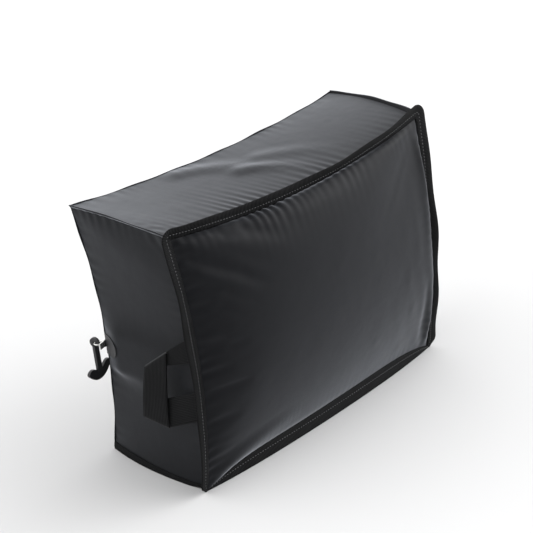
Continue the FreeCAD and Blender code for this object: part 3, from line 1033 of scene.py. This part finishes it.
def make_zipper(materials):
    """Tapes with their stitching, teeth, and the finishes of the end pieces, slider, ring and pull."""
    low, high = ZIPPER_LEVEL - TAPE_SHARE, ZIPPER_LEVEL + TAPE_SHARE
    lower = back_strip("lower_tape", low - 0.004, ZIPPER_LEVEL - 0.002, TAPE_LIFT, materials["tape"])
    upper = back_strip("upper_tape", ZIPPER_LEVEL + 0.002, high + 0.004, TAPE_LIFT, materials["tape"])
    put(lower, "bag", "zipper_tape", "zipper_tape_lower")
    put(upper, "bag", "zipper_tape", "zipper_tape_upper")
    for name, level in (("lower", low + 0.006), ("upper", high - 0.006)):
        line = [off_skin("back", step / 200, level, 0.3 * MM) for step in range(201)]
        row = stitches("tape_stitches_" + name, line, Vector((0, 1, 0)), materials["thread"])
        put(row, "bag", "zipper_tape")
    for name, side in (("lower", -1), ("upper", 1)):
        teeth = make_teeth("teeth_" + name, side, materials["teeth"])
        put(teeth, "bag", "zipper_teeth", "zipper_chain_" + name)
    flap = back_strip("light_flap", ZIPPER_LEVEL - FLAP_SHARE, ZIPPER_LEVEL + FLAP_SHARE, -8 * MM,
                      materials["lining"])
    put(flap, "bag", "lining_cloth", "light_baffle")
    finishes = {"zipper_dock": "rubber", "zipper_stop": "rubber", "t_pull": "rubber",
                "zipper_slider": "metal", "pull_ring": "metal"}
    for name, finish in finishes.items():
        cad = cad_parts[name]
        cad.data.materials.clear()
        cad.data.materials.append(materials[finish])
        soften = cad.modifiers.new("Soft edges", "BEVEL")
        soften.width = 0.8 * MM if name == "t_pull" else 0.3 * MM
        soften.segments = 3
        soften.limit_method = "ANGLE"
        soften.angle_limit = math.radians(50)


# ---- Handles ----

def webbing_stretch(corners, lift, bow):
    """Points and UVs of a flat stretch of webbing in the handle's plane; lift moves it off the plane."""
    rows, columns = 21, 13
    points, uvs = [], []
    length = math.dist(corners[0], corners[3]) * MM
    width = math.dist(corners[0], corners[1]) * MM
    for row in range(rows):
        along = row / (rows - 1)
        for column in range(columns):
            across = column / (columns - 1)
            first = [a + (b - a) * across for a, b in zip(corners[0], corners[1])]
            last = [a + (b - a) * across for a, b in zip(corners[3], corners[2])]
            out, height = [a + (b - a) * along for a, b in zip(first, last)]
            off = lift + bow * math.sin(math.pi * along)
            points.append(Vector((out * MM, off, height * MM)))
            uvs.append((along * length, across * width))
    return points, uvs, grid_faces(rows, columns)


def fold_roll(start, end):
    """The cross-sections of a rolled fold of webbing between two corners."""
    first, last = (Vector((out * MM, 0, height * MM)) for out, height in (start, end))
    forward = (last - first).normalized()
    side = forward.cross(Vector((0, 1, 0)))
    spokes = [side * math.cos(math.radians(a)) + Vector((0, 1, 0)) * math.sin(math.radians(a))
              for a in range(0, 360, 30)]
    steps = 14
    sections = []
    for step in range(steps + 1):
        centre = first.lerp(last, step / steps)
        size = FOLD_RADIUS * (0.6 if step in (0, steps) else 1.0)
        sections.append([centre + spoke * size for spoke in spokes])
    return sections


def make_handles(materials):
    """The two webbing loops: a face stretch folded over two roots that are sewn into the front end seams."""
    for name, side in (("left", 1), ("right", -1)):
        turn = Matrix.Rotation(math.radians(HANDLE_ANGLE), 4, "Z")
        place = Matrix.Translation((*HANDLE_HINGE, 0)) @ turn
        place = Matrix.Scale(side, 4, (1, 0, 0)) @ place
        stretches = []
        for label, corners, lift, bow in (("high_root", HANDLE_ROOT_HIGH, -HANDLE_PLY_OFFSET, 0),
                                          ("low_root", HANDLE_ROOT_LOW, -HANDLE_PLY_OFFSET, 0),
                                          ("face", HANDLE_FACE, HANDLE_PLY_OFFSET, HANDLE_BOW)):
            points, uvs, faces = webbing_stretch(corners, lift, bow)
            strip = piece_from(name + "_handle_" + label, [place @ p for p in points], faces, uvs,
                               materials["webbing"])
            thicken(strip, 1.5 * MM, offset=0)
            stretches.append(strip)
        for label, start, end in (("high", *HANDLE_FACE[2:]), ("low", *HANDLE_FACE[:2])):
            sections = [[place @ p for p in section] for section in fold_roll(start, end)]
            travelled = distances([section[0] for section in sections])
            # The rolled folds take the lighter fold material, a painted highlight.
            stretches.append(sweep(name + "_handle_fold_" + label, sections, travelled,
                                   materials["fold_painted_highlight"]))
        for strip in stretches:
            put(strip, "handle_" + name, "webbing")
        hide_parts(name + "_handle")


# ---- Arm ports and sleeves ----

def port_axes(side):
    """The middle of an arm port and its outward, sideways and upward directions."""
    along = port_share(side)
    middle = on_skin("back", along, PORT_LEVEL)
    outward = (off_skin("back", along, PORT_LEVEL, 1.0) - middle).normalized()
    aside = outward.cross(Vector((0, 0, 1))).normalized()
    return middle, outward, aside, aside.cross(outward)


def make_sleeves(materials):
    """Bound port rings with stitching, sleeves that hang inside in folds, and gathered elastic cuffs."""
    for name, side in (("left", -1), ("right", 1)):
        middle, outward, aside, upward = port_axes(side)

        def around(angle, radius, distance):
            spoke = aside * math.cos(angle) + upward * math.sin(angle)
            return middle + spoke * radius + outward * distance

        angles = [math.radians(a) for a in range(0, 360, 4)]
        sections = [[around(angle, r * MM, d * MM) for r, d in PORT_RING_PROFILE] for angle in angles]
        travelled = [angle * PORT_RADIUS for angle in angles]
        ring = sweep(name + "_port_binding", sections, travelled, materials["binding"], closed=True)
        put(ring, "bag", "binding_tape", name + "_port_ring")
        line = [around(math.radians(a), 58 * MM, 5.3 * MM) for a in range(0, 361, 3)]
        row = stitches(name + "_port_stitches", line, outward, materials["thread"])
        put(row, "bag", "binding_tape")
        make_sleeve(name, around, materials)


def sleeve_shape(angle, share):
    """The sleeve's smooth radius, and how far its soft folds stand out of it."""
    folds = math.sin(7 * angle + 2 * share) + 0.6 * math.sin(12 * angle - share + 1)
    deep = 2.4 * MM * share * (1.15 - share * 0.35)
    return SLEEVE_RADIUS + (CUFF_RADIUS - SLEEVE_RADIUS) * share, folds * deep


def cuff_shape(angle, share):
    """The cuff's smooth radius, and how far its gathers and its three elastic rows stand out of it."""
    gather = 0.7 * MM * math.sin(36 * angle) + 0.3 * MM * math.sin(29 * angle + 4 * share)
    return CUFF_RADIUS, gather + 0.9 * MM * math.sin(3 * math.pi * share) ** 2 - 1 * MM


def cloth_tube(name, around, shape, turns, rings, start, length, material):
    """A round tube of cloth that runs into the bag from a given depth."""
    points, uvs = [], []
    for step in range(turns):
        angle = 2 * math.pi * step / turns
        for ring in range(rings):
            share = ring / (rings - 1)
            radius, rise = shape(angle, share)
            points.append(around(angle, radius + rise, -start - length * share))
            uvs.append((angle * radius, share * length))
    return piece_from(name, points, grid_faces(turns, rings, True), uvs, material)


def make_sleeve(name, around, materials):
    """One sleeve's cone of cloth with soft folds, and its cuff."""
    sleeve = cloth_tube(name + "_sleeve_cloth", around, sleeve_shape, 120, 26, PORT_DEPTH, SLEEVE_LENGTH,
                        materials["lining"])
    thicken(sleeve, 0.8 * MM)
    put(sleeve, "bag", "lining_cloth", name + "_sleeve")
    cuff = cloth_tube(name + "_elastic_cuff", around, cuff_shape, 216, 15, PORT_DEPTH + SLEEVE_LENGTH,
                      CUFF_LENGTH, materials["elastic"])
    thicken(cuff, 1.2 * MM)
    put(cuff, "bag", "elastic_tape", name + "_cuff")


# ---- Studio ----

def make_camera():
    """The camera: above the bag's left front corner, slightly rolled."""
    azimuth, elevation, roll = (math.radians(angle) for angle in CAMERA_ANGLES)
    data = bpy.data.cameras.new("camera")
    data.lens = CAMERA_LENS
    data.sensor_width = SENSOR_WIDTH
    camera = bpy.data.objects.new("camera", data)
    bpy.context.scene.collection.objects.link(camera)
    back = Vector((math.sin(azimuth) * math.cos(elevation), -math.cos(azimuth) * math.cos(elevation),
                   math.sin(elevation)))
    right = (-back).cross(Vector((0, 0, 1))).normalized()
    up = right.cross(-back)
    rolled_right = right * math.cos(roll) + up * math.sin(roll)
    rolled_up = up * math.cos(roll) - right * math.sin(roll)
    place = Matrix((rolled_right, rolled_up, back)).transposed().to_4x4()
    place.translation = Vector(CAMERA_TARGET) + back * CAMERA_DISTANCE
    camera.matrix_world = place
    bpy.context.scene.camera = camera


def make_light(name, place, size, power):
    """A soft square light aimed at the bag."""
    data = bpy.data.lights.new(name, "AREA")
    data.energy = power
    data.size = size
    light = bpy.data.objects.new(name, data)
    light.location = place
    light.visible_camera = False
    light.rotation_euler = (Vector((0, 0, 0.15)) - Vector(place)).to_track_quat("-Z", "Y").to_euler()
    bpy.context.scene.collection.objects.link(light)


def make_studio():
    """A pale floor, a pale surround and one soft light."""
    material, shader = new_material("pale_floor", (0.6, 0.6, 0.6), 0.8, Specular_IOR_Level=0.0)
    solid = node(material, "ShaderNodeTexCoord").outputs["Object"]
    add_bump(material, shader, [(noise(material, solid, 40.0), 0.02, 1 * MM)])
    corners = [(x * FLOOR_SIZE, y * FLOOR_SIZE, 0) for x, y in ((-1, -1), (1, -1), (1, 1), (-1, 1))]
    floor = piece_from("floor", corners, [[0, 1, 2, 3]], [corner[:2] for corner in corners], material)
    make_surround()
    make_light("right_light", (2.5, -1.5, 1.0), 1.3, 20)
    bpy.context.scene.view_settings.view_transform = "Standard"


def make_surround():
    """Soft light from all round, the sum of the glows and a little light from everywhere."""
    world = bpy.data.worlds.new("surround")
    world.use_nodes = True
    direction = node(world, "ShaderNodeTexCoord").outputs["Generated"]
    total = BASE_LIGHT
    for way, start, strength in GLOWS:
        turned = node(world, "ShaderNodeVectorMath", {0: direction, 1: way}, operation="DOT_PRODUCT")
        glow = node(world, "ShaderNodeMapRange",
                    {"Value": turned.outputs["Value"], "From Min": start, "To Max": strength},
                    interpolation_type="SMOOTHSTEP").outputs[0]
        total = node(world, "ShaderNodeMath", {0: glow, 1: total}, operation="ADD").outputs[0]
    background = world.node_tree.nodes["Background"]
    background.inputs["Color"].default_value = (0.985, 0.985, 0.99, 1)
    link(world, total, background.inputs["Strength"])
    bpy.context.scene.world = world


finishes = make_materials()
make_camera()
make_studio()
make_shell(finishes)
make_binding(finishes)
make_seam_ridges(finishes)
make_base_bands(finishes)
make_zipper(finishes)
make_handles(finishes)
make_sleeves(finishes)
